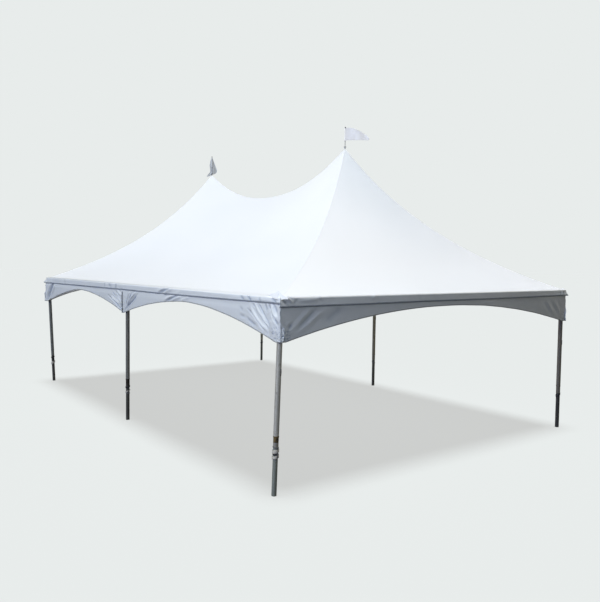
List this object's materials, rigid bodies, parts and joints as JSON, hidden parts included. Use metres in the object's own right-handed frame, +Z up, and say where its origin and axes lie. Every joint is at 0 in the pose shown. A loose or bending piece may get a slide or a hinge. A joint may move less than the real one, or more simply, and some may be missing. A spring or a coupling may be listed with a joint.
{
  "type": "marquee tent",
  "caption": "Open-sided frame marquee with a white two-peaked canopy, scalloped valances, telescoping tube legs and swivelling pennants on the peaks.",
  "frame": {"origin": "on the ground at the middle of the plan", "axes": "+Z up, +Y along the ridge from the front end to the back end, +X to the right side seen from the front"},
  "size_m": [6.228, 9.244, 5.265],
  "materials": {
    "canopy_vinyl": "smooth white coated vinyl, satin, slightly translucent",
    "valance_vinyl": "the same white coated vinyl, hanging in soft folds",
    "galvanised_tube": "galvanised tube, dull",
    "upper_leg_tube": "weathered galvanised tube, satin",
    "lower_leg_tube": "dark inner tube, scuffed satin",
    "fitting_steel": "dark welded steel fittings",
    "mast_aluminium": "mill finish",
    "pennant_nylon": "thin pale nylon"
  },
  "bodies": {
    "root": {"canopy": "canopy_vinyl", "valance_front": "valance_vinyl", "valance_back": "valance_vinyl", "valance_left_front": "valance_vinyl", "valance_left_back": "valance_vinyl", "valance_right_front": "valance_vinyl", "valance_right_back": "valance_vinyl", "rail_front": "galvanised_tube", "rail_cross": "galvanised_tube", "rail_back": "galvanised_tube", "rail_left_front": "galvanised_tube", "rail_left_back": "galvanised_tube", "rail_right_front": "galvanised_tube", "rail_right_back": "galvanised_tube", "crown_front_left": "fitting_steel", "crown_front_right": "fitting_steel", "crown_mid_left": "fitting_steel", "crown_mid_right": "fitting_steel", "crown_back_left": "fitting_steel", "crown_back_right": "fitting_steel", "leg_upper_front_left": "upper_leg_tube", "leg_upper_front_right": "upper_leg_tube", "leg_upper_mid_left": "upper_leg_tube", "leg_upper_mid_right": "upper_leg_tube", "leg_upper_back_left": "upper_leg_tube", "leg_upper_back_right": "upper_leg_tube", "mast_front": "mast_aluminium", "cable_cross_front": "fitting_steel", "pennant_rod_front": "fitting_steel", "mast_back": "mast_aluminium", "cable_cross_back": "fitting_steel", "pennant_rod_back": "fitting_steel"},
    "lower_leg_front_left": {"leg_lower_front_left": "lower_leg_tube"},
    "lower_leg_front_right": {"leg_lower_front_right": "lower_leg_tube"},
    "lower_leg_mid_left": {"leg_lower_mid_left": "lower_leg_tube"},
    "lower_leg_mid_right": {"leg_lower_mid_right": "lower_leg_tube"},
    "lower_leg_back_left": {"leg_lower_back_left": "lower_leg_tube"},
    "lower_leg_back_right": {"leg_lower_back_right": "lower_leg_tube"},
    "pennant_front_body": {"pennant_front": "pennant_nylon"},
    "pennant_back_body": {"pennant_back": "pennant_nylon"}
  },
  "joints": [
    {"name": "leg_slide_front_left", "type": "slide", "parent": "root", "child": "lower_leg_front_left", "axis": [0.022, -0.0123, 0.9997], "range_m": [-0.12, 0.36]},
    {"name": "leg_slide_front_right", "type": "slide", "parent": "root", "child": "lower_leg_front_right", "axis": [0, 0, 1], "range_m": [-0.12, 0.36]},
    {"name": "leg_slide_mid_left", "type": "slide", "parent": "root", "child": "lower_leg_mid_left", "axis": [0, 0, 1], "range_m": [-0.12, 0.36]},
    {"name": "leg_slide_mid_right", "type": "slide", "parent": "root", "child": "lower_leg_mid_right", "axis": [0, 0, 1], "range_m": [-0.12, 0.36]},
    {"name": "leg_slide_back_left", "type": "slide", "parent": "root", "child": "lower_leg_back_left", "axis": [-0.0343, 0.0273, 0.999], "range_m": [-0.12, 0.36]},
    {"name": "leg_slide_back_right", "type": "slide", "parent": "root", "child": "lower_leg_back_right", "axis": [0, 0, 1], "range_m": [-0.12, 0.36]},
    {"name": "pennant_swivel_front", "type": "hinge", "parent": "root", "child": "pennant_front_body", "pos_m": [0, -2.278, 5.095], "axis": [0, 0, 1], "continuous": true},
    {"name": "pennant_swivel_back", "type": "hinge", "parent": "root", "child": "pennant_back_body", "pos_m": [0, 2.278, 5.095], "axis": [0, 0, 1], "continuous": true}
  ]
}
